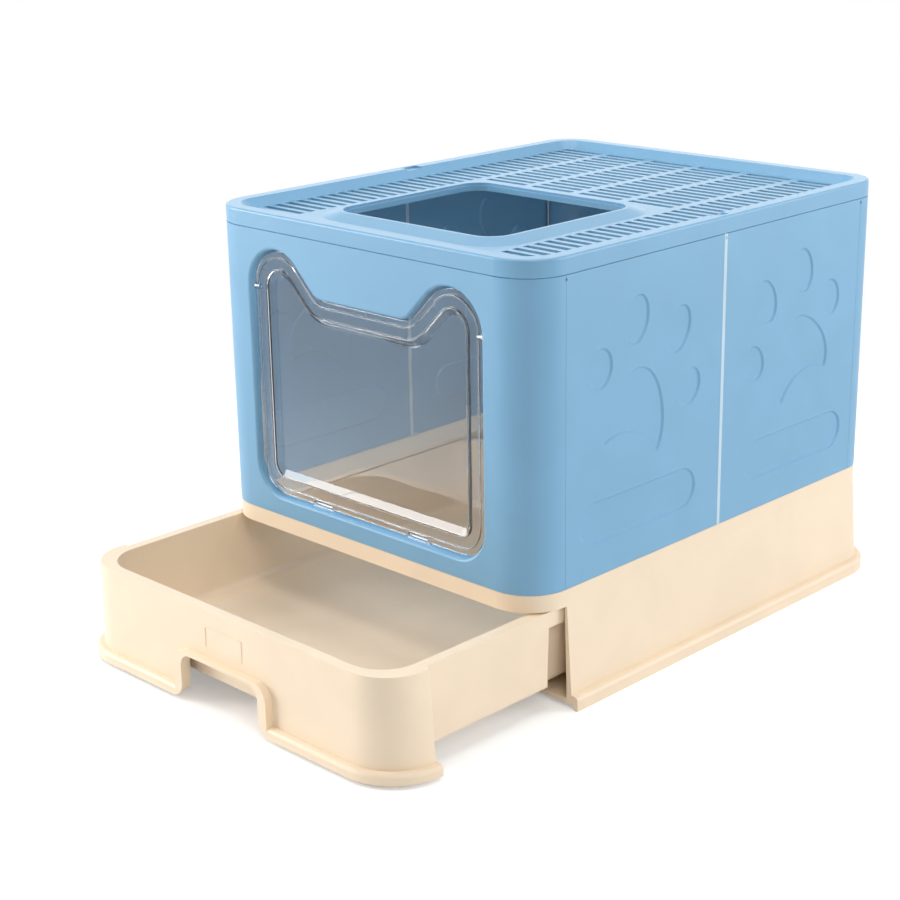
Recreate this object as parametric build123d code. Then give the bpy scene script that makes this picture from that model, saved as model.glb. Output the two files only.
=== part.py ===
from build123d import *
import os
from math import sqrt

# Foldable litter box: a cream base and drawer, blue folding walls, a clear swing door and a vented lid.
# Sizes are in millimetres. X runs across the box, Y from the door to the back and Z up.
# Pieces are drawn with the door wall's outer face at y = 0 and the ground at z = 0.

# Footprint of the walls
WALL_WIDTH = 392.0
WALL_DEPTH = 488.0
FRONT_RADIUS = 40.0
REAR_RADIUS = 34.0

# Base frame
COLLAR_TOP = 107.0
COLLAR_BAND = 15.0
COLLAR_WALL = 2.4
HOPPER_REACH = 15.0
HOPPER_LIP = 3.5
HOPPER_SKIN = 2.5
HOPPER_TIP = 1.5
BASE_FLARE = 5.5
SKIRT_REACH = 12.0
SKIRT_TOP = 13.0
SKIRT_WALL = 4.0
SKIRT_ROUND = 4.0
FLOOR_BOTTOM = 4.5
FLOOR_THICKNESS = 4.5
DRAWER_SEAM = 42.0
RUNNER_SPACING = 240.0
RUNNER_WIDTH = 6.0
RUNNER_TOP = 19.0
RUNNER_MARGIN = 28.0

# Drawer
DRAWER_PULL = 158.0
DRAWER_HEAD_ROOM = 1.5
TRAY_FRONT = 2.5
TRAY_SIDE_GAP = 2.6
TRAY_REAR_GAP = 4.0
TRAY_REAR_RADIUS = 28.0
TRAY_WALL = 3.5
TRAY_DRAFT = 4.5
TRAY_FLOOR = 3.2
TRAY_BOTTOM_ROUND = 7.0
TRAY_INSIDE_ROUND = 6.0
RIM_REACH = 6.5
RIM_DROP = 14.0
RIM_SKIN = 2.4
TRAY_SKIRT_END = 185.0
TRAY_SKIRT_RISE = 2.0
TRAY_SKIRT_LEAN = 1.5
TRAY_SKIRT_ROUND = 3.0
FASCIA_WALL = 2.8
FASCIA_BOTTOM = 3.7
FASCIA_END_ROUND = 2.2
ARCH_HALF_WIDTH = 50.0
ARCH_TOP = 46.0
ARCH_CORNER = 12.0
ARCH_FLARE = 14.0
ARCH_BAND = 10.0
ARCH_LIP = 3.0
FRAME_WIDTH = 48.0
FRAME_HEIGHT = 20.0
FRAME_DROP = 24.5
FRAME_LINE = 1.2
FRAME_PROUD = 0.5

# Walls
WALL_HEIGHT = 262.7
WALL_THICKNESS = 3.0
REAR_LEG = 36.0
SEAM_GAP = 0.3
FOLD_STRIP = 4.0
FOLD_FOOT = 8.0
FOLD_FOOT_HEIGHT = 2.5
FOLD_FOOT_DEPTH = 2.0
SEAM_DOT_RADIUS = 1.3
SEAM_DOT_DEPTH = 0.9
SEAM_DOT_DROP = 3.5

# Hinges of the four corners
KNUCKLE_RADIUS = 3.3
KNUCKLE_HEIGHT = 12.0
KNUCKLE_ROWS = 3
KNUCKLE_MARGIN = 11.0
PIN_RADIUS = 1.5
PIN_FIT = 0.05
PIN_OVERRUN = 1.5

# Pieces that rest or slide on one another
SEAT_GAP = 0.3

# How far a cut runs past what it cuts, and how near an edge has to lie to be taken for another
CUT_PAST = 1.0
EDGE_TOLERANCE = 0.1

# Paw and bar sunk in each half of the side walls, which stand out as much on the inside
ORNAMENT_DEPTH = 1.6
ORNAMENT_DRAFT = 45.0
ORNAMENT_ROUND = 1.0
BAR_LENGTH = 153.6
BAR_WIDTH = 37.0
BAR_FROM_FRONT = 133.8
BAR_RISE = 47.5
PAW_FROM_FRONT = 121.5
PAW_RISE = 100.0
PAW_LEAN = 18.8
PAD_FOOT = 35.5
PAD_HALF_WIDTH = 41.5
PAD_BELLY = 18.0
PAD_BELLY_SHIFT = 3.0
PAD_HEIGHT = 70.5
PAD_CROWN_SHIFT = 7.0
PAD_NOTCH = 15.5
PAD_CORNER = 3.0
OUTER_TOE = (61.6, 61.3)
INNER_TOE = (29.3, 106.9)
OUTER_TOE_SIZE = (14.4, 17.4)
INNER_TOE_SIZE = (15.0, 21.3)
OUTER_TOE_TURN = 9.0
INNER_TOE_TURN = 5.0

# Door opening, with its two ears
DOOR_POST = 54.0
DOOR_SILL = 16.9
OPENING_CORNER = 31.0
EAR_RADIUS = 36.0
DIP_DROP = 52.0
DIP_ROUND = 18.0
TUNNEL_DEPTH = 11.5
TUNNEL_WALL = 2.5
TUNNEL_ROUND = 2.8

# Clear door
DOOR_GAP = 2.4
DOOR_SETBACK = 5.0
DOOR_SKIN = 2.2
DOOR_FLANGE = 4.4
DOOR_BAND = 8.7
RIDGE_WIDTH = 1.6
RIDGE_HEIGHT = 1.5
RIDGE_ROUND = 0.55
PANE_SLOPE = 6.4
PANE_DEPTH = 3.2
DOOR_PIN_DROP = 1.0
DOOR_PIN_SEAT = 6.0
DOOR_BOSS_RADIUS = 2.9
TAB_WIDTH = 29.0
TAB_SPACING = 120.5
TAB_DROP = 1.5
TAB_SLOT_HEIGHT = 1.8
TAB_SLOT_MARGIN = 3.0

# Lid
LID_HEIGHT = 15.1
LID_SKIRT = 3.0
LID_SKIN = 2.5
LID_PLATE = 3.0
LID_PLATE_DROP = 7.9
RIM_LAND = 13.0
RIM_SLOPE = 8.0
LID_ROUND = 2.0
TOP_OPENING_HALF_WIDTH = 97.0
TOP_OPENING_FRONT = 62.0
TOP_OPENING_LENGTH = 184.0
TOP_OPENING_RADIUS = 22.0
COLLAR_RISE = 4.5
COLLAR_RIDGE = 3.0
COLLAR_FLANK = 16.0
COLLAR_STEP = 1.5
COLLAR_STEP_DROP = 2.6
LID_NOTCH_LENGTH = 20.0
LID_NOTCH_DEPTH = 2.0
LID_NOTCH_FLOOR = 3.0
LID_NOTCH_EDGE = 5.0
LID_FOOT_ROUND = 0.6

# Grille of the lid
SLOT_PITCH = 12.8
SLOT_WIDTH = 7.0
SLOT_ROUND = 1.5
RIB_WIDTH = 9.0
COLUMN_PITCH = 58.8
REAR_COLUMNS = 4
SIDE_COLUMN_MARGIN = 1.9
LAST_SLOT_FROM_REAR = 30.3
FIRST_SLOT_FROM_FRONT = 35.0
REAR_FIELD_GAP = 6.0
PANEL_EDGE = 2.6

# Lugs that locate the back wall in the base and the lid on the back wall
LUG_WIDTH = 32.0
LUG_THICKNESS = 2.6
LUG_LENGTH = 10.0
LUG_SPACING = 220.0
LUG_GAP = 0.4

# Heights and places that follow from the sizes above
HALF_WIDTH = WALL_WIDTH / 2
WALL_BOTTOM = COLLAR_TOP + SEAT_GAP
WALL_TOP = WALL_BOTTOM + WALL_HEIGHT
COLLAR_BOTTOM = COLLAR_TOP - COLLAR_BAND
FLOOR_TOP = FLOOR_BOTTOM + FLOOR_THICKNESS
DRAWER_TOP = COLLAR_BOTTOM - DRAWER_HEAD_ROOM
RIM_UNDERSIDE = DRAWER_TOP - RIM_SKIN
RIM_FOOT = DRAWER_TOP - RIM_DROP
LAND_REACH = RIM_REACH - TRAY_FRONT
DRAWER_FRONT_END = DRAWER_SEAM - SEAT_GAP
TRAY_BOTTOM = RUNNER_TOP + SEAT_GAP
TRAY_HALF_WIDTH = HALF_WIDTH - COLLAR_WALL - TRAY_SIDE_GAP - RIM_REACH
TRAY_REAR = WALL_DEPTH - COLLAR_WALL - TRAY_REAR_GAP - RIM_REACH
TRAY_FRONT_RADIUS = FRONT_RADIUS - TRAY_FRONT
LID_BOTTOM = WALL_TOP + SEAT_GAP
LID_TOP = LID_BOTTOM + LID_HEIGHT
PLATE_TOP = LID_TOP - LID_PLATE_DROP
PLATE_BOTTOM = PLATE_TOP - LID_PLATE
PLATE_INSET = RIM_LAND + RIM_SLOPE
INNER_X = HALF_WIDTH - WALL_THICKNESS
FRONT_SEAM = FRONT_RADIUS
REAR_SEAM = WALL_DEPTH - REAR_LEG
MID_SEAM = (FRONT_SEAM + REAR_SEAM) / 2
PIN_X = INNER_X - KNUCKLE_RADIUS - SEAT_GAP
KNUCKLE_STEP = (WALL_HEIGHT - 2 * KNUCKLE_MARGIN - 2 * KNUCKLE_HEIGHT - SEAM_GAP) / (KNUCKLE_ROWS - 1)
OPENING_HALF_WIDTH = HALF_WIDTH - DOOR_POST
OPENING_BOTTOM = WALL_BOTTOM + DOOR_SILL
DIP_HEIGHT = WALL_TOP - DIP_DROP
DOOR_PIN_HEIGHT = DIP_HEIGHT - DOOR_PIN_DROP
DOOR_PIN_Y = DOOR_SETBACK + DOOR_SKIN / 2
PIN_HOLE = PIN_RADIUS + PIN_FIT
REAR_INNER_Y = WALL_DEPTH - WALL_THICKNESS
TOP_OPENING_REAR = TOP_OPENING_FRONT + TOP_OPENING_LENGTH

# Fields of the grille: the slots are counted forward from the last row
SLOT_EDGE = SLOT_WIDTH / 2 + PANEL_EDGE
LAST_SLOT = WALL_DEPTH - LAST_SLOT_FROM_REAR
REAR_FIELD_FRONT = TOP_OPENING_REAR + COLLAR_RIDGE + COLLAR_FLANK + REAR_FIELD_GAP
SIDE_SLOT_ROWS = int((LAST_SLOT - FIRST_SLOT_FROM_FRONT) / SLOT_PITCH) + 1
REAR_SLOT_ROWS = int((LAST_SLOT - REAR_FIELD_FRONT - SLOT_EDGE) / SLOT_PITCH) + 1
SIDE_COLUMN_LOW = REAR_COLUMNS / 2 * COLUMN_PITCH + RIB_WIDTH / 2
SIDE_COLUMN_HIGH = HALF_WIDTH - PLATE_INSET - SIDE_COLUMN_MARGIN

# The part stands on its origin: the middle of its footprint with the drawer pulled out
ORIGIN_Y = (WALL_DEPTH - DRAWER_PULL) / 2


def box(x, y, z):
    """Box between two X, two Y and two Z values."""
    size = Box(x[1] - x[0], y[1] - y[0], z[1] - z[0])
    return Pos((x[0] + x[1]) / 2, (y[0] + y[1]) / 2, (z[0] + z[1]) / 2) * size


def rounded_plan(half_width, front, rear, front_radius, rear_radius):
    """Rectangle seen from above, with one radius at the front and one at the rear."""
    face = Pos(0, (front + rear) / 2) * Rectangle(2 * half_width, rear - front)
    face = fillet(face.vertices().group_by(Axis.Y)[-1], rear_radius)
    return fillet(face.vertices().group_by(Axis.Y)[0], front_radius)


def outline(inset):
    """The footprint of the walls, drawn in by the inset, or out where it is negative."""
    return rounded_plan(
        HALF_WIDTH - inset, inset, WALL_DEPTH - inset, FRONT_RADIUS - inset, REAR_RADIUS - inset
    )


def prism(inset, low, high):
    """Upright block on the footprint."""
    return extrude(Pos(0, 0, low) * outline(inset), high - low)


def drafted(low_inset, low, high_inset, high):
    """Block whose sides lean from one inset to another."""
    return loft([Pos(0, 0, low) * outline(low_inset), Pos(0, 0, high) * outline(high_inset)], ruled=True)


def tray_plan(grow):
    """The drawer's tray seen from above, with the drawer closed."""
    return rounded_plan(
        TRAY_HALF_WIDTH + grow,
        TRAY_FRONT - grow,
        TRAY_REAR + grow,
        TRAY_FRONT_RADIUS + grow,
        TRAY_REAR_RADIUS + grow,
    )


def tray_drafted(low_grow, low, high_grow, high):
    return loft([Pos(0, 0, low) * tray_plan(low_grow), Pos(0, 0, high) * tray_plan(high_grow)], ruled=True)


def tray_prism(grow, low, high):
    return extrude(Pos(0, 0, low) * tray_plan(grow), high - low)


def mirror_x(shape):
    return mirror(shape, about=Plane.YZ)


def both_sides(shape):
    return shape + mirror_x(shape)


def make_base_frame():
    """Floor, skirt and side walls, and the collar that carries the folding walls."""
    body = drafted(-BASE_FLARE, SKIRT_TOP - SKIRT_ROUND, 0, COLLAR_BOTTOM)
    body += prism(0, COLLAR_BOTTOM, COLLAR_TOP)
    skirt = prism(-SKIRT_REACH, 0, SKIRT_TOP)
    body += fillet(skirt.edges().group_by(Axis.Z)[-1], SKIRT_ROUND)
    body -= prism(SKIRT_WALL - SKIRT_REACH, 0, FLOOR_BOTTOM)
    body -= drafted(0, FLOOR_TOP, COLLAR_WALL, COLLAR_BOTTOM)

    # The hopper guides litter past the drawer's rim, and is hollow under its slope
    tip_top = COLLAR_BOTTOM + HOPPER_LIP
    body -= drafted(HOPPER_REACH, tip_top, HOPPER_LIP, COLLAR_TOP)
    body -= prism(HOPPER_REACH, COLLAR_BOTTOM, tip_top)
    under_top = COLLAR_TOP - HOPPER_SKIN
    under = prism(COLLAR_WALL, COLLAR_BOTTOM, under_top)
    under -= drafted(HOPPER_REACH - HOPPER_TIP, COLLAR_BOTTOM, COLLAR_WALL, under_top)
    body -= under

    # The front stays open under the collar, for the drawer
    reach = HALF_WIDTH + 2 * SKIRT_REACH
    body -= box((-reach, reach), (-2 * SKIRT_REACH, DRAWER_SEAM), (-CUT_PAST, COLLAR_BOTTOM))

    # Runners under the drawer
    half = RUNNER_WIDTH / 2
    middle = RUNNER_SPACING / 2
    runner = box(
        (middle - half, middle + half),
        (DRAWER_SEAM + RUNNER_MARGIN, WALL_DEPTH - RUNNER_MARGIN),
        (FLOOR_TOP, RUNNER_TOP),
    )
    body += both_sides(runner)

    # Pockets that take the back wall's lugs
    pocket = lug_block(LUG_GAP, COLLAR_BOTTOM, COLLAR_TOP + CUT_PAST)
    return body - both_sides(pocket)


def lug_block(room, low, high):
    """Space of one locating lug inside the back wall, grown by the room around it."""
    rear = REAR_INNER_Y - LUG_GAP + room
    front = REAR_INNER_Y - LUG_GAP - LUG_THICKNESS - room
    half = LUG_WIDTH / 2 + room
    middle = LUG_SPACING / 2
    return box((middle - half, middle + half), (front, rear), (low, high))


def front_face(y):
    """Drawing plane across the front: its X is the part's X and its Y is the part's Z."""
    return Plane(origin=(0, y, 0), x_dir=(1, 0, 0), z_dir=(0, -1, 0))


def front_plate(face, y, depth):
    """A face drawn on the front plane, given a thickness towards the back."""
    return extrude(front_face(y) * face, -depth)


def arch_face(half_width, top, corner, bottom, flare):
    """Outline of the finger arch, with its lower corners rolled outwards."""
    face = Pos(0, (top + bottom) / 2) * Rectangle(2 * half_width, top - bottom)
    face = fillet(face.vertices().group_by(Axis.Y)[-1], corner)
    foot = Pos(half_width + flare / 2, bottom + flare / 2) * Rectangle(flare, flare)
    foot -= Pos(half_width + flare, bottom + flare) * Circle(flare)
    return face + foot + mirror(foot, about=Plane.YZ)


def drawer_front_block(inset):
    """Space of the drawer's front while it is closed, up to its flat land, drawn in by the inset."""
    faces = []
    for height, side, front in ((FASCIA_BOTTOM, BASE_FLARE, BASE_FLARE), (DRAWER_TOP, 0, LAND_REACH)):
        half_width = HALF_WIDTH + side - inset
        plan = rounded_plan(half_width, inset - front, WALL_DEPTH, FRONT_RADIUS + side - inset, REAR_RADIUS)
        faces.append(Pos(0, 0, height) * plan)
    return loft(faces, ruled=True)


def before_seam(bottom, top):
    """Slab that holds whatever belongs to the drawer's front, between two heights."""
    reach = HALF_WIDTH + 2 * SKIRT_REACH
    return box((-reach, reach), (-2 * SKIRT_REACH, DRAWER_FRONT_END), (bottom, top))


def drawer_front_slice(bottom, top):
    """The drawer's front between two heights, with its ends at the seam rounded on the outside."""
    front = drawer_front_block(0) & before_seam(bottom, top)
    ends = [
        edge
        for edge in front.edges()
        if edge.center().Y > DRAWER_FRONT_END - EDGE_TOLERANCE
        and abs(edge.center().X) > HALF_WIDTH - EDGE_TOLERANCE
    ]
    return fillet(ends, FASCIA_END_ROUND)


def tray_skirt():
    """Hollow skirt that carries the rim's outer face down along the front of the tray's sides."""
    low = TRAY_BOTTOM + TRAY_SKIRT_RISE
    reach = HALF_WIDTH + SKIRT_REACH
    outer = tray_drafted(RIM_REACH - TRAY_SKIRT_LEAN, low, RIM_REACH, RIM_FOOT)
    outer &= box((-reach, reach), (DRAWER_FRONT_END, TRAY_SKIRT_END), (low, RIM_FOOT))
    corners = [
        edge
        for edge in outer.edges()
        if abs(edge.center().X) > TRAY_HALF_WIDTH
        and edge.center().Z < RIM_FOOT - EDGE_TOLERANCE
        and edge.center().Y > DRAWER_FRONT_END + EDGE_TOLERANCE
    ]
    outer = fillet(corners, TRAY_SKIRT_ROUND)
    grow = RIM_REACH - RIM_SKIN
    inner = tray_drafted(grow - TRAY_SKIRT_LEAN, low, grow, RIM_FOOT)
    return outer - (inner & box((-reach, reach), (0, TRAY_SKIRT_END - RIM_SKIN), (low, RIM_FOOT)))


def make_drawer_tray():
    """Litter tray with a rolled rim that widens to a flat land at the front."""
    tray = tray_drafted(-TRAY_DRAFT, TRAY_BOTTOM, 0, DRAWER_TOP)
    tray = fillet(tray.edges().group_by(Axis.Z)[0], TRAY_BOTTOM_ROUND)
    rim = tray_prism(RIM_REACH, RIM_FOOT, DRAWER_TOP)
    rim -= tray_prism(RIM_REACH - RIM_SKIN, RIM_FOOT, RIM_UNDERSIDE)
    rim -= before_seam(0, DRAWER_TOP)
    tray += rim + tray_skirt() + drawer_front_slice(RIM_UNDERSIDE, DRAWER_TOP)
    hollow = tray_drafted(-TRAY_DRAFT - TRAY_WALL, TRAY_BOTTOM + TRAY_FLOOR, -TRAY_WALL, DRAWER_TOP)
    hollow = fillet(hollow.edges().group_by(Axis.Z)[0], TRAY_INSIDE_ROUND)
    return Pos(0, -DRAWER_PULL, 0) * (tray - hollow)


def make_drawer_front():
    """Skirt under the tray's land that closes the front of the base, with the finger arch."""
    front = drawer_front_slice(FASCIA_BOTTOM, RIM_UNDERSIDE)
    flange = prism(-SKIRT_REACH, FASCIA_BOTTOM, SKIRT_TOP)
    front += fillet(flange.edges().group_by(Axis.Z)[-1], SKIRT_ROUND)
    band = arch_face(
        ARCH_HALF_WIDTH + ARCH_BAND, ARCH_TOP + ARCH_LIP, ARCH_CORNER + ARCH_LIP, FASCIA_BOTTOM, ARCH_LIP
    )
    front += front_plate(band, -SKIRT_REACH, SKIRT_REACH)
    front -= prism(FASCIA_WALL - SKIRT_REACH, FASCIA_BOTTOM, SKIRT_TOP - FASCIA_WALL)
    front -= drawer_front_block(FASCIA_WALL)
    front = front & before_seam(FASCIA_BOTTOM, RIM_UNDERSIDE)

    # It stays clear of the tray, which hangs behind it
    front -= tray_drafted(SEAT_GAP - TRAY_DRAFT, TRAY_BOTTOM, SEAT_GAP, DRAWER_TOP)
    arch = arch_face(ARCH_HALF_WIDTH, ARCH_TOP, ARCH_CORNER, FASCIA_BOTTOM, ARCH_FLARE)
    front -= front_plate(arch, -2 * SKIRT_REACH, 2 * SKIRT_REACH + FASCIA_WALL)

    # Thin raised frame on the middle of the skirt, left empty
    outer = Rectangle(FRAME_WIDTH, FRAME_HEIGHT)
    inner = Rectangle(FRAME_WIDTH - 2 * FRAME_LINE, FRAME_HEIGHT - 2 * FRAME_LINE)
    lean = LAND_REACH + (BASE_FLARE - LAND_REACH) * FRAME_DROP / (DRAWER_TOP - FASCIA_BOTTOM)
    frame = Pos(0, DRAWER_TOP - FRAME_DROP) * (outer - inner)
    front += front_plate(frame, -lean - FRAME_PROUD, FRAME_PROUD + FASCIA_WALL / 2)
    return Pos(0, -DRAWER_PULL, 0) * front


def opening_face(inset):
    """The door opening with its two ears, drawn in by the inset."""
    half_width = OPENING_HALF_WIDTH - inset
    bottom = OPENING_BOTTOM + inset
    dip = DIP_HEIGHT - inset
    centre_x = OPENING_HALF_WIDTH - EAR_RADIUS
    corner_x = centre_x - EAR_RADIUS * sqrt(2)
    dip_x = corner_x + inset * (sqrt(2) - 1)
    peak = dip + (half_width - dip_x)
    corners = [
        (half_width, bottom),
        (half_width, peak),
        (dip_x, dip),
        (-dip_x, dip),
        (-half_width, peak),
        (-half_width, bottom),
    ]
    low = OPENING_CORNER - inset
    ear = EAR_RADIUS - inset
    hollow = DIP_ROUND + inset
    line = FilletPolyline(*corners, radius=[low, ear, hollow, hollow, ear, low], close=True)
    return make_face(line)


def knuckle(pin_y, side, low):
    """One hinge eye at the right wall, on the panel that lies to that side of the pin."""
    barrel = Pos(PIN_X, pin_y, low + KNUCKLE_HEIGHT / 2) * Cylinder(KNUCKLE_RADIUS, KNUCKLE_HEIGHT)
    near = pin_y + side * SEAM_GAP / 2
    far = pin_y + side * KNUCKLE_RADIUS
    web = box(
        (PIN_X, INNER_X + WALL_THICKNESS / 2), (min(near, far), max(near, far)), (low, low + KNUCKLE_HEIGHT)
    )
    return barrel + web


def knuckle_column(pin_y, side, first):
    """The eyes of one panel along a corner pin, with their holes still to be drilled."""
    eyes = Part()
    for row in range(KNUCKLE_ROWS):
        eyes += knuckle(pin_y, side, WALL_BOTTOM + KNUCKLE_MARGIN + first + row * KNUCKLE_STEP)
    return eyes


def pin_bore(pin_y):
    return Pos(PIN_X, pin_y, WALL_BOTTOM + WALL_HEIGHT / 2) * Cylinder(PIN_HOLE, WALL_HEIGHT)


def seam_dot(y):
    """Shallow round dimple at the top of a seam, on the right wall's outer face."""
    height = WALL_TOP - SEAM_DOT_DROP
    return Pos(HALF_WIDTH, y, height) * Rot(0, 90, 0) * Cylinder(SEAM_DOT_RADIUS, 2 * SEAM_DOT_DEPTH)


def corner_panel(front, rear, pin_y, side):
    """A slice of the wall's ring that turns both corners, with its hinge eyes."""
    ring = prism(0, WALL_BOTTOM, WALL_TOP) - prism(WALL_THICKNESS, WALL_BOTTOM, WALL_TOP)
    panel = ring & box((-HALF_WIDTH, HALF_WIDTH), (front, rear), (WALL_BOTTOM, WALL_TOP))
    panel += both_sides(knuckle_column(pin_y, side, 0))
    return panel - both_sides(pin_bore(pin_y)) - both_sides(seam_dot(pin_y))


def make_front_panel():
    """Door wall, with a short tunnel round the door opening and seats for the door's pins."""
    panel = corner_panel(0, FRONT_SEAM - SEAM_GAP / 2, FRONT_SEAM, -1)
    panel += front_plate(opening_face(-TUNNEL_WALL), 0, TUNNEL_DEPTH)
    panel -= front_plate(opening_face(0), -CUT_PAST, TUNNEL_DEPTH + 2 * CUT_PAST)
    rim = panel.edges().filter_by(on_opening_front)
    panel = fillet(rim, TUNNEL_ROUND)
    seat = Rot(0, 90, 0) * Cylinder(PIN_HOLE, DOOR_PIN_SEAT)
    seat = Pos(OPENING_HALF_WIDTH, DOOR_PIN_Y, DOOR_PIN_HEIGHT) * seat
    return panel - both_sides(seat)


def on_opening_front(edge):
    """True for an edge of the door opening that lies on the wall's outer face."""
    bounds = edge.bounding_box()
    flat = max(abs(bounds.min.Y), abs(bounds.max.Y)) < EDGE_TOLERANCE
    inside = max(abs(bounds.min.X), abs(bounds.max.X)) < OPENING_HALF_WIDTH + EDGE_TOLERANCE
    above = bounds.min.Z > OPENING_BOTTOM - EDGE_TOLERANCE
    return flat and inside and above and bounds.max.Z < WALL_TOP - EDGE_TOLERANCE


def make_back_panel():
    """Rear wall, with lugs that drop into the base."""
    panel = corner_panel(REAR_SEAM + SEAM_GAP / 2, WALL_DEPTH, REAR_SEAM, 1)
    lug = lug_block(0, COLLAR_TOP - LUG_LENGTH, WALL_BOTTOM + LUG_LENGTH)
    half = LUG_WIDTH / 2
    middle = LUG_SPACING / 2
    root = box(
        (middle - half, middle + half),
        (REAR_INNER_Y - LUG_GAP - LUG_THICKNESS, REAR_INNER_Y + WALL_THICKNESS / 2),
        (WALL_BOTTOM, WALL_BOTTOM + LUG_LENGTH),
    )
    return panel + both_sides(lug + root)


def paw_faces():
    """Pad and four toes of the paw, standing upright on its own origin."""
    left_foot = (-PAD_FOOT, 0)
    right_foot = (PAD_FOOT, 0)
    dome = Spline(
        left_foot,
        (-PAD_HALF_WIDTH - PAD_BELLY_SHIFT, PAD_BELLY),
        (-PAD_CROWN_SHIFT, PAD_HEIGHT),
        (PAD_HALF_WIDTH - PAD_BELLY_SHIFT, PAD_BELLY),
        right_foot,
    )
    notch = ThreePointArc(right_foot, (0, PAD_NOTCH), left_foot)
    pad = make_face(Curve() + [dome, notch])
    faces = [fillet(pad.vertices(), PAD_CORNER)]
    for side in (-1, 1):
        outer = Rot(0, 0, -side * OUTER_TOE_TURN) * Ellipse(*OUTER_TOE_SIZE)
        inner = Rot(0, 0, -side * INNER_TOE_TURN) * Ellipse(*INNER_TOE_SIZE)
        faces.append(Pos(side * OUTER_TOE[0], OUTER_TOE[1]) * outer)
        faces.append(Pos(side * INNER_TOE[0], INNER_TOE[1]) * inner)
    return faces


def side_ornaments(face_x):
    """The right front half's paw and bar, as drafted blocks that reach inwards from a face of its wall."""
    plane = Plane(origin=(face_x, 0, 0), x_dir=(0, 1, 0), z_dir=(1, 0, 0))
    place = Pos(PAW_FROM_FRONT, WALL_BOTTOM + PAW_RISE) * Rot(0, 0, -PAW_LEAN)
    faces = [place * face for face in paw_faces()]
    faces.append(Pos(BAR_FROM_FRONT, WALL_BOTTOM + BAR_RISE) * SlotOverall(BAR_LENGTH, BAR_WIDTH))
    blocks = Part()
    for face in faces:
        block = extrude(plane * face, -ORNAMENT_DEPTH, taper=ORNAMENT_DRAFT)
        blocks += fillet(block.edges().group_by(Axis.X)[0], ORNAMENT_ROUND)
    return blocks


def half_panel(front, rear, pin_y, side):
    """One half of the right side wall, flat, with its ornaments and hinge eyes."""
    panel = box((INNER_X, HALF_WIDTH), (front, rear), (WALL_BOTTOM, WALL_TOP))
    sunk = side_ornaments(HALF_WIDTH)
    proud = side_ornaments(INNER_X)
    if side < 0:
        middle = Plane(origin=(0, MID_SEAM, 0), z_dir=(0, 1, 0))
        sunk = mirror(sunk, about=middle)
        proud = mirror(proud, about=middle)
    panel = panel + proud - sunk
    panel += knuckle_column(pin_y, side, KNUCKLE_HEIGHT + SEAM_GAP)
    return panel - pin_bore(pin_y) - seam_dot(pin_y)


def make_rear_half():
    return half_panel(MID_SEAM + FOLD_STRIP / 2, REAR_SEAM - SEAM_GAP / 2, REAR_SEAM, -1)


def make_front_half():
    return half_panel(FRONT_SEAM + SEAM_GAP / 2, MID_SEAM - FOLD_STRIP / 2 - SEAM_GAP, FRONT_SEAM, 1)


def make_fold_hinge():
    """Pale strip between the two halves of the right side wall, with a foot on the inside."""
    half = FOLD_STRIP / 2
    strip = box((INNER_X, HALF_WIDTH), (MID_SEAM - half, MID_SEAM + half), (WALL_BOTTOM, WALL_TOP))
    foot = box(
        (INNER_X - FOLD_FOOT_DEPTH, INNER_X),
        (MID_SEAM - half, MID_SEAM - half + FOLD_FOOT),
        (WALL_BOTTOM, WALL_BOTTOM + FOLD_FOOT_HEIGHT),
    )
    return strip + foot - seam_dot(MID_SEAM)


def make_corner_pin(pin_y):
    """Long pin through the eyes of the right wall's corner."""
    low = WALL_BOTTOM + KNUCKLE_MARGIN - PIN_OVERRUN
    high = WALL_TOP - KNUCKLE_MARGIN + PIN_OVERRUN
    return Pos(PIN_X, pin_y, (low + high) / 2) * Cylinder(PIN_RADIUS, high - low)


def ridge(inset):
    """Raised bead that follows the door's outline."""
    face = opening_face(inset) - opening_face(inset + RIDGE_WIDTH)
    bead = front_plate(face, DOOR_SETBACK - RIDGE_HEIGHT, RIDGE_HEIGHT)
    return fillet(bead.edges().group_by(Axis.Y)[0], RIDGE_ROUND)


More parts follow.
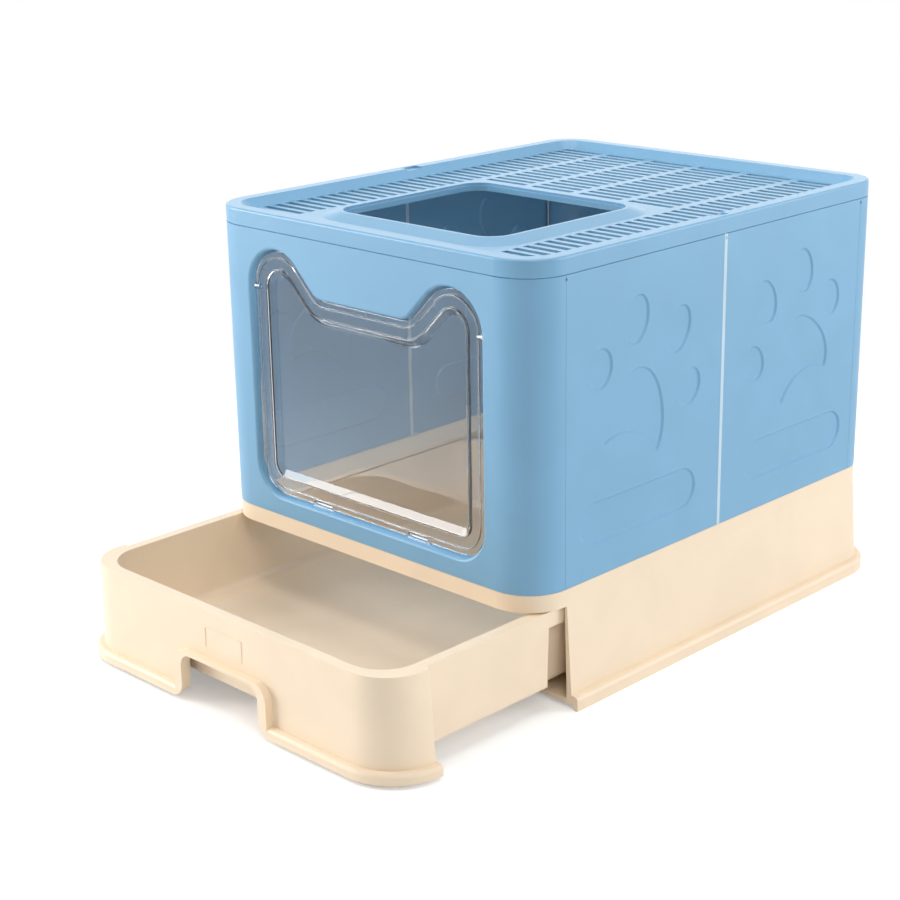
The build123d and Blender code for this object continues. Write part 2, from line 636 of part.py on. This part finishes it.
def make_door_flap():
    """Clear door that hangs in the tunnel, with two beads round a sunk pane."""
    flange_end = DOOR_GAP + DOOR_FLANGE
    band_end = flange_end + RIDGE_WIDTH + DOOR_BAND
    slope_start = band_end + RIDGE_WIDTH
    door = front_plate(opening_face(DOOR_GAP), DOOR_SETBACK, DOOR_SKIN)
    pane_back = DOOR_SETBACK + PANE_DEPTH + DOOR_SKIN
    outer = [
        front_face(DOOR_SETBACK + DOOR_SKIN / 2) * opening_face(slope_start - RIDGE_WIDTH),
        front_face(pane_back) * opening_face(slope_start + PANE_SLOPE - RIDGE_WIDTH),
    ]
    door += loft(outer, ruled=True)
    door += ridge(flange_end) + ridge(band_end)
    sunk = [
        front_face(DOOR_SETBACK) * opening_face(slope_start),
        front_face(DOOR_SETBACK + PANE_DEPTH) * opening_face(slope_start + PANE_SLOPE),
    ]
    door -= loft(sunk, ruled=True)

    # Bosses for the pins, then tabs at the foot with a slot above each
    seat = OPENING_HALF_WIDTH - DOOR_GAP - DOOR_PIN_SEAT / 2
    turned = Pos(seat, DOOR_PIN_Y, DOOR_PIN_HEIGHT) * Rot(0, 90, 0)
    door += both_sides(turned * Cylinder(DOOR_BOSS_RADIUS, DOOR_PIN_SEAT))
    door -= both_sides(turned * Cylinder(PIN_HOLE, DOOR_PIN_SEAT))
    foot = OPENING_BOTTOM + DOOR_GAP
    middle = TAB_SPACING / 2
    tab = Pos(middle, foot) * Rectangle(TAB_WIDTH, 2 * TAB_DROP)
    door += both_sides(front_plate(tab, DOOR_SETBACK, DOOR_SKIN))
    slot_width = TAB_WIDTH - 2 * TAB_SLOT_MARGIN
    slot = Pos(middle, foot + TAB_DROP + TAB_SLOT_HEIGHT / 2) * Rectangle(slot_width, TAB_SLOT_HEIGHT)
    return door - both_sides(front_plate(slot, DOOR_SETBACK - CUT_PAST, DOOR_SKIN + 2 * CUT_PAST))


def make_door_pin():
    """Short pin at the right of the door, seated in the door and in the tunnel."""
    inner = OPENING_HALF_WIDTH - DOOR_GAP - DOOR_PIN_SEAT + SEAT_GAP
    outer = OPENING_HALF_WIDTH + TUNNEL_WALL
    turned = Pos((inner + outer) / 2, DOOR_PIN_Y, DOOR_PIN_HEIGHT) * Rot(0, 90, 0)
    return turned * Cylinder(PIN_RADIUS, outer - inner)


def top_opening(grow):
    """The lid's top opening seen from above."""
    radius = TOP_OPENING_RADIUS + grow
    return rounded_plan(
        TOP_OPENING_HALF_WIDTH + grow, TOP_OPENING_FRONT - grow, TOP_OPENING_REAR + grow, radius, radius
    )


def grille_field(low, high, rows):
    """Field between two X values that holds as many rows of slots."""
    front = LAST_SLOT - (rows - 1) * SLOT_PITCH - SLOT_EDGE
    rear = LAST_SLOT + SLOT_EDGE
    return Pos((low + high) / 2, (front + rear) / 2) * Rectangle(high - low, rear - front)


def side_grille_face():
    """Field of the right grille, kept inside the lid's plate."""
    face = grille_field(SIDE_COLUMN_LOW - PANEL_EDGE, SIDE_COLUMN_HIGH + PANEL_EDGE, SIDE_SLOT_ROWS)
    return face & outline(PLATE_INSET + LID_SKIN / 2)


def rear_grille_face():
    """Field of the grille behind the top opening."""
    half = SIDE_COLUMN_LOW - PANEL_EDGE
    return grille_field(-half, half, REAR_SLOT_ROWS)


def slot_rows(low, high, rows):
    """Rounded slots of one column between two X values."""
    centre_x = (low + high) / 2
    width = high - low
    slots = Sketch()
    for row in range(rows):
        slots += Pos(centre_x, LAST_SLOT - row * SLOT_PITCH) * RectangleRounded(width, SLOT_WIDTH, SLOT_ROUND)
    return slots


def grille(face, slots):
    plate = extrude(Pos(0, 0, PLATE_BOTTOM) * face, LID_PLATE)
    return plate - extrude(Pos(0, 0, PLATE_BOTTOM) * slots, LID_PLATE)


def make_side_grille():
    return grille(side_grille_face(), slot_rows(SIDE_COLUMN_LOW, SIDE_COLUMN_HIGH, SIDE_SLOT_ROWS))


def make_rear_grille():
    slots = Sketch()
    for column in range(REAR_COLUMNS):
        left = (column - REAR_COLUMNS / 2) * COLUMN_PITCH
        slots += slot_rows(left + RIB_WIDTH / 2, left + COLUMN_PITCH - RIB_WIDTH / 2, REAR_SLOT_ROWS)
    return grille(rear_grille_face(), slots)


def make_lid_frame():
    """Lid with a hollow raised rim, windows for the grilles and a collar round the top opening."""
    lid = prism(0, LID_BOTTOM, LID_TOP)
    lid = fillet(lid.edges().group_by(Axis.Z)[-1], LID_ROUND)
    lid = fillet(lid.edges().group_by(Axis.Z)[0], LID_FOOT_ROUND)
    lid -= drafted(PLATE_INSET, PLATE_TOP, RIM_LAND, LID_TOP)
    lid -= prism(LID_SKIRT, LID_BOTTOM, PLATE_BOTTOM)
    channel_top = LID_TOP - LID_SKIN
    channel = prism(LID_SKIRT, PLATE_BOTTOM, channel_top)
    channel_foot = PLATE_INSET - LID_SKIN * (sqrt(2) - 1)
    rise = channel_top - PLATE_BOTTOM
    channel -= drafted(channel_foot, PLATE_BOTTOM, channel_foot - rise, channel_top)
    lid -= channel

    # Collar of the top opening, with a small step inside
    flank = [
        Pos(0, 0, PLATE_TOP) * top_opening(COLLAR_RIDGE + COLLAR_FLANK),
        Pos(0, 0, PLATE_TOP + COLLAR_RISE) * top_opening(COLLAR_RIDGE),
    ]
    lid += loft(flank, ruled=True)
    step = PLATE_TOP + COLLAR_RISE - COLLAR_STEP_DROP
    lid -= extrude(Pos(0, 0, step) * top_opening(0), COLLAR_STEP_DROP)
    lid -= extrude(Pos(0, 0, PLATE_BOTTOM) * top_opening(-COLLAR_STEP), step - PLATE_BOTTOM)

    # Windows for the grilles
    lid -= both_sides(extrude(Pos(0, 0, PLATE_BOTTOM) * side_grille_face(), LID_PLATE))
    lid -= extrude(Pos(0, 0, PLATE_BOTTOM) * rear_grille_face(), LID_PLATE)

    # A notch in each side of the rim, open to the plate, on a thicker floor
    half = LID_NOTCH_LENGTH / 2
    floor_top = LID_TOP - LID_NOTCH_DEPTH
    floor = box(
        (HALF_WIDTH - RIM_LAND, HALF_WIDTH - LID_SKIRT / 2),
        (MID_SEAM - half - LID_SKIN, MID_SEAM + half + LID_SKIN),
        (floor_top - LID_NOTCH_FLOOR, LID_TOP - LID_SKIN / 2),
    )
    notch = box(
        (HALF_WIDTH - PLATE_INSET, HALF_WIDTH - LID_NOTCH_EDGE),
        (MID_SEAM - half, MID_SEAM + half),
        (floor_top, LID_TOP + CUT_PAST),
    )
    lid = lid + both_sides(floor) - both_sides(notch)

    # Lugs that drop inside the back wall
    lug = lug_block(0, WALL_TOP - LUG_LENGTH, LID_TOP - LID_SKIN / 2)
    return lid + both_sides(lug)


def make_pieces():
    """Every piece of the box under its node name, in its place around the walls."""
    rear_half = make_rear_half()
    front_half = make_front_half()
    fold_hinge = make_fold_hinge()
    rear_pin = make_corner_pin(REAR_SEAM)
    front_pin = make_corner_pin(FRONT_SEAM)
    door_pin = make_door_pin()
    side_grille = make_side_grille()
    pieces = {
        "base_frame": make_base_frame(),
        "drawer_tray": make_drawer_tray(),
        "drawer_front": make_drawer_front(),
        "front_panel": make_front_panel(),
        "back_panel": make_back_panel(),
        "door_flap": make_door_flap(),
        "lid_frame": make_lid_frame(),
        "lid_grille_rear": make_rear_grille(),
    }
    for name, shape in {
        "rear_panel": rear_half,
        "front_half_panel": front_half,
        "fold_hinge": fold_hinge,
        "rear_corner_pin": rear_pin,
        "front_corner_pin": front_pin,
        "door_pin": door_pin,
        "lid_grille": side_grille,
    }.items():
        pieces["right_" + name] = shape
        pieces["left_" + name] = mirror_x(shape)
    return pieces


os.makedirs("parts", exist_ok=True)
for node, shape in make_pieces().items():
    export_step(Pos(0, -ORIGIN_Y, 0) * shape, "parts/" + node + ".step")
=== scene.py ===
import math

import bmesh
import bpy
from bpy.props import FloatProperty, FloatVectorProperty, PointerProperty
from mathutils import Matrix, Vector


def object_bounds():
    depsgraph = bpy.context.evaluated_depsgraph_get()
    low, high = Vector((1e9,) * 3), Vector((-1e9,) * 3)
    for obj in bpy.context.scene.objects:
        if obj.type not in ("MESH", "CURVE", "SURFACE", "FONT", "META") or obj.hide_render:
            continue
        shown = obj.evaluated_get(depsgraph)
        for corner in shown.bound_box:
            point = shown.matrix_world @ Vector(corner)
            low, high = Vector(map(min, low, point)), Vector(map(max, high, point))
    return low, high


bl_info = {
    "name": "Foldable Litter Box",
    "version": (1, 0, 0),
    "blender": (4, 5, 0),
    "location": "3D View > Sidebar > Litter Box",
    "description": "Moulded plastics, clear door and studio for a foldable litter box",
    "category": "Add Mesh",
}

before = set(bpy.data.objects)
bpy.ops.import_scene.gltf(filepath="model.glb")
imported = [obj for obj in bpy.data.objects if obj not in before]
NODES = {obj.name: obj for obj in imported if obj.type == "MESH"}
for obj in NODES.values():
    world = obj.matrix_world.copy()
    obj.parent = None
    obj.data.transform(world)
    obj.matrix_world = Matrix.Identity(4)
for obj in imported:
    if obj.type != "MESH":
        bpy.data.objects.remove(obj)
CAD_LOW, CAD_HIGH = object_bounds()

MM = 0.001
SIDES = ("right", "left")

# The camera of the photograph, solved from the edges of the box
CAMERA_PLACE = Vector((1.12656, -1.19082, 0.69559))
CAMERA_AZIMUTH = math.radians(44.867)
CAMERA_ELEVATION = math.radians(18.271)
CAMERA_ROLL = math.radians(-1.013)
CAMERA_LENS = 74.61
CAMERA_SENSOR = 36.0

# Place of each lamp in metres, with its width and height
LAMPS = {
    "key": ((-1.9, -1.5, 0.8), (1.4, 1.4)),
    "side": ((2.2, -1.3, 1.9), (1.4, 1.4)),
    "lid": ((-1.5, 1.6, 0.75), (2.2, 0.7)),
    "wall": ((1.9, 1.6, 0.7), (1.2, 1.2)),
    "top": ((0.0, 0.0, 2.6), (2.4, 2.4)),
}

# Distances from the middle at which the floor begins to go over into white, and is all white
FLOOR_FADE_START = 0.45
FLOOR_FADE_END = 1.1

# Size of the faint blotches in the paper, and their shades as shares of its colour
PAPER_BLOTCH = 1 / 6
PAPER_SHADES = (0.98, 1.0)

POLYPROPYLENE_IOR = 1.49
POLYSTYRENE_IOR = 1.59

# Part of the noise that the flow clouds are drawn from, and their shades as shares of the colour
CLOUD_NOISE = (0.3, 0.7)
CLOUD_SHADES = (0.965, 1.02)

# How far the hollows and tips of the etched grain go below and above the roughness of the skin
GRAIN_SMOOTHER = 0.05
GRAIN_ROUGHER = 0.07

# Waves in the polished door: their depth, how strongly they show, and the roughness over them as shares
WAVE_DEPTH = 0.2 * MM
WAVE_STRENGTH = 0.25
WAVE_ROUGHNESS = (0.5, 1.5)

# Scratches that the drawing die leaves, drawn coarser than the real ones so that they show
SCRATCH_PITCH = 0.4 * MM
SCRATCH_SQUEEZE = 0.04
SCRATCH_ROUGHNESS = (0.22, 0.42)


def linear(code):
    """Scene colour, with alpha, of an sRGB hex code."""
    channels = [int(code[i : i + 2], 16) / 255 for i in (0, 2, 4)]
    return tuple(c / 12.92 if c <= 0.04045 else ((c + 0.055) / 1.055) ** 2.4 for c in channels) + (1.0,)


CREAM = linear("F7E3C8")
BLUE = linear("7CAFD2")
PALE_BLUE = linear("C3DAE8")
CLEAR = linear("F6F7FA")
STEEL = linear("B4B6BA")
PAPER = linear("FAFAFA")
WHITE = linear("FFFFFF")


def add_node(tree, kind, settings=None, links=None):
    """Add a node to a tree, with the values of its sockets or properties and what feeds its sockets."""
    node = tree.nodes.new(kind)
    sockets = {}
    for name, value in (settings or {}).items():
        if isinstance(name, int) or name in node.inputs:
            sockets[name] = value
        else:
            setattr(node, name, value)
    for name, value in sockets.items():
        node.inputs[name].default_value = value
    for name, output in (links or {}).items():
        tree.links.new(output, node.inputs[name])
    return node


def add_noise(tree, where, size, settings):
    """Noise whose blotches have a size in metres."""
    noise = add_node(tree, "ShaderNodeTexNoise", {"Scale": 1 / size, **settings}, {"Vector": where})
    return noise.outputs["Fac"]


def add_spread(tree, value, low, high, settings=None):
    """A value, from nought to one unless the settings say otherwise, spread from low to high."""
    limits = {"To Min": low, "To Max": high}
    spread = add_node(tree, "ShaderNodeMapRange", {**limits, **(settings or {})}, {"Value": value})
    return spread.outputs["Result"]


def add_shade(tree, colour, shade):
    """A colour made darker or lighter by a shade."""
    tone = add_node(tree, "ShaderNodeHueSaturation", {"Color": tuple(colour)}, {"Value": shade})
    return tone.outputs["Color"]


def new_material(name):
    """New material, its node tree, and the place on the object that its patterns use."""
    material = bpy.data.materials.new(name)
    material.use_nodes = True
    tree = material.node_tree
    tree.nodes.clear()
    return material, tree, add_node(tree, "ShaderNodeTexCoord").outputs["Object"]


class MouldedPlastic(bpy.types.PropertyGroup):
    """A coloured plastic and the marks that its mould leaves"""

    colour: FloatVectorProperty(
        name="Colour",
        description="Colour of the pellets",
        subtype="COLOR",
        size=4,
        min=0,
        max=1,
        default=BLUE,
    )
    roughness: FloatProperty(
        name="Roughness", description="Roughness of the skin", default=0.42, min=0, max=1
    )
    grain: FloatProperty(
        name="Grain", description="Pitch of the mould's etched grain", default=0.9 * MM, unit="LENGTH"
    )
    grain_depth: FloatProperty(
        name="Grain Depth", description="Depth of the etched grain", default=0.012 * MM, unit="LENGTH"
    )
    flow: FloatProperty(
        name="Flow", description="Size of the clouds that the melt leaves", default=70 * MM, unit="LENGTH"
    )


class DoorPlastic(bpy.types.PropertyGroup):
    """Clear plastic of the swing door"""

    tint: FloatVectorProperty(
        name="Tint",
        description="Colour that the light takes on in the door",
        subtype="COLOR",
        size=4,
        min=0,
        max=1,
        default=CLEAR,
    )
    roughness: FloatProperty(
        name="Roughness", description="Roughness of the polish", default=0.02, min=0, max=1
    )
    ripple: FloatProperty(
        name="Ripple", description="Length of the faint waves in the pane", default=24 * MM, unit="LENGTH"
    )


class StudioSettings(bpy.types.PropertyGroup):
    """Floor and light round the box"""

    floor_size: FloatProperty(name="Floor", description="Width of the floor", default=8.0, unit="LENGTH")
    key_power: FloatProperty(
        name="Key", description="Power of the lamp at the front left", default=48.0, unit="POWER"
    )
    side_power: FloatProperty(
        name="Side", description="Power of the lamp at the right", default=21.0, unit="POWER"
    )
    lid_power: FloatProperty(
        name="Lid",
        description="Power of the lamp behind at the left, which the lid mirrors",
        default=4.0,
        unit="POWER",
    )
    wall_power: FloatProperty(
        name="Wall",
        description="Power of the lamp behind at the right, along the side",
        default=26.0,
        unit="POWER",
    )
    top_power: FloatProperty(
        name="Top", description="Power of the lamp overhead", default=42.0, unit="POWER"
    )
    ambient: FloatProperty(
        name="Ambient", description="Level of the light from all round", default=0.12, min=0
    )
    floor_glow: FloatProperty(
        name="Floor Glow",
        description="What the floor adds to its lit colour where the camera or a reflection sees it",
        default=0.3,
        min=0,
        max=1,
    )


class LitterBoxSettings(bpy.types.PropertyGroup):
    """Everything a user would change on the litter box"""

    cream: PointerProperty(name="Cream", description="Plastic of the base and drawer", type=MouldedPlastic)
    blue: PointerProperty(name="Blue", description="Plastic of the walls", type=MouldedPlastic)
    lid: PointerProperty(
        name="Lid", description="Plastic of the lid, whose mould is smoother", type=MouldedPlastic
    )
    strip: PointerProperty(name="Fold Strip", description="Plastic of the fold strips", type=MouldedPlastic)
    door: PointerProperty(name="Door", description="Plastic of the swing door", type=DoorPlastic)
    studio: PointerProperty(name="Studio", description="Floor and light", type=StudioSettings)


def moulded_material(name, plastic):
    """Injection-moulded polypropylene: an even satin skin with an etched grain and faint flow clouds."""
    material, tree, where = new_material(name)
    cloud_look = {"Detail": 2.0, "Roughness": 0.45, "Distortion": 0.6}
    clouds = add_noise(tree, where, plastic.flow, cloud_look)
    cloud_limits = {"From Min": CLOUD_NOISE[0], "From Max": CLOUD_NOISE[1]}
    shade = add_spread(tree, clouds, *CLOUD_SHADES, cloud_limits)

    # The real grain is about 0.2 mm and is drawn coarser so that it shows
    grain = add_noise(tree, where, plastic.grain, {"Detail": 2.0, "Roughness": 0.6})
    smoothest, roughest = plastic.roughness - GRAIN_SMOOTHER, plastic.roughness + GRAIN_ROUGHER
    etched = add_node(
        tree, "ShaderNodeBump", {"Strength": 1.0, "Distance": plastic.grain_depth}, {"Height": grain}
    )
    shader = add_node(
        tree,
        "ShaderNodeBsdfPrincipled",
        {"IOR": POLYPROPYLENE_IOR, "Metallic": 0.0},
        {
            "Base Color": add_shade(tree, plastic.colour, shade),
            "Roughness": add_spread(tree, grain, smoothest, roughest),
            "Normal": etched.outputs["Normal"],
        },
    )
    add_node(tree, "ShaderNodeOutputMaterial", links={"Surface": shader.outputs["BSDF"]})
    return material


def clear_material(name, door):
    """Polished polystyrene: clear, with faint waves where the sheet cooled unevenly."""
    material, tree, where = new_material(name)
    waves = add_noise(tree, where, door.ripple, {"Detail": 1.0, "Roughness": 0.4})
    smoothest, roughest = (door.roughness * share for share in WAVE_ROUGHNESS)
    rippled = add_node(
        tree, "ShaderNodeBump", {"Strength": WAVE_STRENGTH, "Distance": WAVE_DEPTH}, {"Height": waves}
    )
    shader = add_node(
        tree,
        "ShaderNodeBsdfPrincipled",
        {"Base Color": tuple(door.tint), "IOR": POLYSTYRENE_IOR, "Transmission Weight": 1.0},
        {
            "Roughness": add_spread(tree, waves, smoothest, roughest),
            "Normal": rippled.outputs["Normal"],
        },
    )

    # The lamps shine through it, so that they light what lies behind
    path = add_node(tree, "ShaderNodeLightPath")
    through = add_node(tree, "ShaderNodeBsdfTransparent", {"Color": tuple(door.tint)})
    mix = add_node(
        tree,
        "ShaderNodeMixShader",
        links={0: path.outputs["Is Shadow Ray"], 1: shader.outputs["BSDF"], 2: through.outputs["BSDF"]},
    )
    add_node(tree, "ShaderNodeOutputMaterial", links={"Surface": mix.outputs["Shader"]})
    return material


def drawn_steel_material(name):
    """Drawn steel wire: grey metal with fine scratches along its length."""
    material, tree, where = new_material(name)
    along = add_node(tree, "ShaderNodeMapping", {"Scale": (1.0, 1.0, SCRATCH_SQUEEZE)}, {"Vector": where})
    scratches = add_noise(tree, along.outputs["Vector"], SCRATCH_PITCH, {"Detail": 3.0})
    shader = add_node(
        tree,
        "ShaderNodeBsdfPrincipled",
        {"Base Color": STEEL, "Metallic": 1.0},
        {"Roughness": add_spread(tree, scratches, *SCRATCH_ROUGHNESS)},
    )
    add_node(tree, "ShaderNodeOutputMaterial", links={"Surface": shader.outputs["BSDF"]})
    return material


def dress(material, *nodes):
    """Give CAD nodes their finished material."""
    for node in nodes:
        piece = NODES[node]
        if not piece.material_slots:
            piece.data.materials.append(material)
        for slot in piece.material_slots:
            slot.material = material


def camera_frame():
    """The camera's right, up and back directions as the columns of a matrix."""
    azimuth, elevation, roll = CAMERA_AZIMUTH, CAMERA_ELEVATION, CAMERA_ROLL
    back = Vector((
        math.sin(azimuth) * math.cos(elevation),
        -math.cos(azimuth) * math.cos(elevation),
        math.sin(elevation),
    ))
    right = (-back).cross(Vector((0, 0, 1))).normalized()
    up = right.cross(-back)
    turned_right = math.cos(roll) * right + math.sin(roll) * up
    turned_up = math.cos(roll) * up - math.sin(roll) * right
    return Matrix((turned_right, turned_up, back)).transposed()


def add_lamp(name, place, target, size, power):
    """Large soft lamp that faces a point."""
    light = bpy.data.lights.new(name, "AREA")
    light.shape = "RECTANGLE"
    light.size, light.size_y = size
    light.energy = power
    lamp = bpy.data.objects.new(name, light)
    lamp.location = place
    lamp.visible_camera = False
    lamp.rotation_euler = (Vector(target) - Vector(place)).to_track_quat("-Z", "Y").to_euler()
    bpy.context.scene.collection.objects.link(lamp)


def add_math(tree, operation, first, second):
    """Calculate with the outputs of two nodes."""
    result = add_node(tree, "ShaderNodeMath", {"operation": operation}, {0: first, 1: second})
    return result.outputs["Value"]


def seen_ray(tree):
    """One for what the camera sees straight, in a reflection or through the clear door, else nought."""
    path = add_node(tree, "ShaderNodeLightPath")
    direct = add_math(tree, "MAXIMUM", path.outputs["Is Camera Ray"], path.outputs["Is Transmission Ray"])
    return add_math(tree, "MAXIMUM", direct, path.outputs["Is Glossy Ray"])


def floor_material(glow):
    """Matt white paper roll that keeps the box's shadow and goes over into the white behind it."""
    material, tree, where = new_material("matt_white_paper")
    blotches = add_noise(tree, where, PAPER_BLOTCH, {"Detail": 1.0})
    tone = add_shade(tree, PAPER, add_spread(tree, blotches, *PAPER_SHADES))
    paper = add_node(tree, "ShaderNodeBsdfDiffuse", links={"Color": tone})
    seen = seen_ray(tree)
    lift = add_node(tree, "ShaderNodeMath", {"operation": "MULTIPLY", 1: glow}, {0: seen})
    shine = add_node(tree, "ShaderNodeEmission", {"Color": WHITE}, {"Strength": lift.outputs["Value"]})
    near = add_node(
        tree, "ShaderNodeAddShader", links={0: paper.outputs["BSDF"], 1: shine.outputs["Emission"]}
    )
    white = add_node(tree, "ShaderNodeEmission", {"Color": WHITE, "Strength": 1.0})
    distance = add_node(tree, "ShaderNodeVectorMath", {"operation": "LENGTH"}, {0: where})
    fade_limits = {"From Min": FLOOR_FADE_START, "From Max": FLOOR_FADE_END}
    fade = add_spread(
        tree, distance.outputs["Value"], 0.0, 1.0, {"interpolation_type": "SMOOTHSTEP", **fade_limits}
    )
    far = add_math(tree, "MULTIPLY", fade, seen)
    mix = add_node(
        tree, "ShaderNodeMixShader", links={0: far, 1: near.outputs["Shader"], 2: white.outputs["Emission"]}
    )
    add_node(tree, "ShaderNodeOutputMaterial", links={"Surface": mix.outputs["Shader"]})
    return material


def studio_world(ambient):
    """White surroundings wherever they are seen, and a plain level of light elsewhere."""
    world = bpy.data.worlds.new("studio")
    world.use_nodes = True
    tree = world.node_tree
    tree.nodes.clear()
    level = add_spread(tree, seen_ray(tree), ambient, 1.0)
    sky = add_node(tree, "ShaderNodeBackground", {"Color": WHITE}, {"Strength": level})
    add_node(tree, "ShaderNodeOutputWorld", links={"Surface": sky.outputs["Background"]})
    return world


class LITTERBOX_OT_base(bpy.types.Operator):
    """Finish the cream base"""

    bl_idname = "litterbox.base"
    bl_label = "Base"

    def execute(self, context):
        dress(moulded_material("cream_polypropylene", context.scene.litter_box.cream), "base_frame")
        return {"FINISHED"}


class LITTERBOX_OT_drawer(bpy.types.Operator):
    """Finish the cream drawer"""

    bl_idname = "litterbox.drawer"
    bl_label = "Drawer"

    def execute(self, context):
        cream = moulded_material("cream_polypropylene_drawer", context.scene.litter_box.cream)
        dress(cream, "drawer_tray", "drawer_front")
        return {"FINISHED"}


class LITTERBOX_OT_walls(bpy.types.Operator):
    """Finish the blue walls, their fold strips and the corner pins"""

    bl_idname = "litterbox.walls"
    bl_label = "Folding Walls"

    def execute(self, context):
        settings = context.scene.litter_box
        blue = moulded_material("blue_polypropylene_walls", settings.blue)
        halves = [f"{side}_{half}" for side in SIDES for half in ("rear_panel", "front_half_panel")]
        dress(blue, "front_panel", "back_panel", *halves)
        strips = [f"{side}_fold_hinge" for side in SIDES]
        dress(moulded_material("pale_soft_polypropylene", settings.strip), *strips)
        pins = [f"{side}_{end}_corner_pin" for side in SIDES for end in ("front", "rear")]
        dress(drawn_steel_material("drawn_steel_wire"), *pins)
        return {"FINISHED"}


class LITTERBOX_OT_door(bpy.types.Operator):
    """Finish the clear door and its pins"""

    bl_idname = "litterbox.door"
    bl_label = "Swing Door"

    def execute(self, context):
        pins = [f"{side}_door_pin" for side in SIDES]
        dress(clear_material("clear_polystyrene", context.scene.litter_box.door), "door_flap", *pins)
        return {"FINISHED"}


class LITTERBOX_OT_lid(bpy.types.Operator):
    """Finish the blue lid and its grilles"""

    bl_idname = "litterbox.lid"
    bl_label = "Lid"

    def execute(self, context):
        blue = moulded_material("blue_polypropylene_lid", context.scene.litter_box.lid)
        dress(blue, "lid_frame", "lid_grille_rear", *[f"{side}_lid_grille" for side in SIDES])
        return {"FINISHED"}


class LITTERBOX_OT_studio(bpy.types.Operator):
    """Set up the floor, the lamps and the camera"""

    bl_idname = "litterbox.studio"
    bl_label = "Studio"

    def execute(self, context):
        scene = context.scene
        studio = scene.litter_box.studio

        sheet = bmesh.new()
        bmesh.ops.create_grid(sheet, x_segments=1, y_segments=1, size=studio.floor_size / 2)
        mesh = bpy.data.meshes.new("floor")
        sheet.to_mesh(mesh)
        sheet.free()
        mesh.materials.append(floor_material(studio.floor_glow))
        floor = bpy.data.objects.new("floor", mesh)
        scene.collection.objects.link(floor)

        middle = (CAD_LOW + CAD_HIGH) / 2
        for name, (place, size) in LAMPS.items():
            add_lamp(f"{name}_lamp", place, middle, size, getattr(studio, f"{name}_power"))
        scene.world = studio_world(studio.ambient)

        lens = bpy.data.cameras.new("camera")
        lens.lens = CAMERA_LENS
        lens.sensor_width = CAMERA_SENSOR
        camera = bpy.data.objects.new("camera", lens)
        camera.matrix_world = Matrix.Translation(CAMERA_PLACE) @ camera_frame().to_4x4()
        scene.collection.objects.link(camera)
        scene.camera = camera
        scene.view_settings.view_transform = "Standard"
        return {"FINISHED"}


OPERATORS = (
    LITTERBOX_OT_base,
    LITTERBOX_OT_drawer,
    LITTERBOX_OT_walls,
    LITTERBOX_OT_door,
    LITTERBOX_OT_lid,
    LITTERBOX_OT_studio,
)


class LITTERBOX_PT_panel(bpy.types.Panel):
    """Lists the pieces of the litter box and what can be changed on them"""

    bl_idname = "LITTERBOX_PT_panel"
    bl_label = "Litter Box"
    bl_space_type = "VIEW_3D"
    bl_region_type = "UI"
    bl_category = "Litter Box"

    def draw(self, context):
        layout = self.layout
        for operator in OPERATORS:
            layout.operator(operator.bl_idname)
        settings = context.scene.litter_box
        for group in ("cream", "blue", "lid", "strip", "door", "studio"):
            box = layout.box()
            box.label(text=group.capitalize())
            values = getattr(settings, group)
            for name in values.bl_rna.properties.keys():
                if name not in ("rna_type", "name"):
                    box.prop(values, name)


GROUPS = (MouldedPlastic, DoorPlastic, StudioSettings, LitterBoxSettings)
CLASSES = GROUPS + OPERATORS + (LITTERBOX_PT_panel,)


def register():
    for kind in CLASSES:
        bpy.utils.register_class(kind)
    bpy.types.Scene.litter_box = PointerProperty(type=LitterBoxSettings)


def unregister():
    del bpy.types.Scene.litter_box
    for kind in reversed(CLASSES):
        bpy.utils.unregister_class(kind)


def main():
    register()
    settings = bpy.context.scene.litter_box
    settings.cream.colour = CREAM
    settings.blue.colour = BLUE
    settings.lid.colour = BLUE
    settings.lid.roughness = 0.32
    settings.lid.grain_depth = 0.004 * MM
    settings.strip.colour = PALE_BLUE
    bpy.ops.litterbox.base()
    bpy.ops.litterbox.drawer()
    bpy.ops.litterbox.walls()
    bpy.ops.litterbox.door()
    bpy.ops.litterbox.lid()
    bpy.ops.litterbox.studio()


if __name__ == "__main__":
    main()
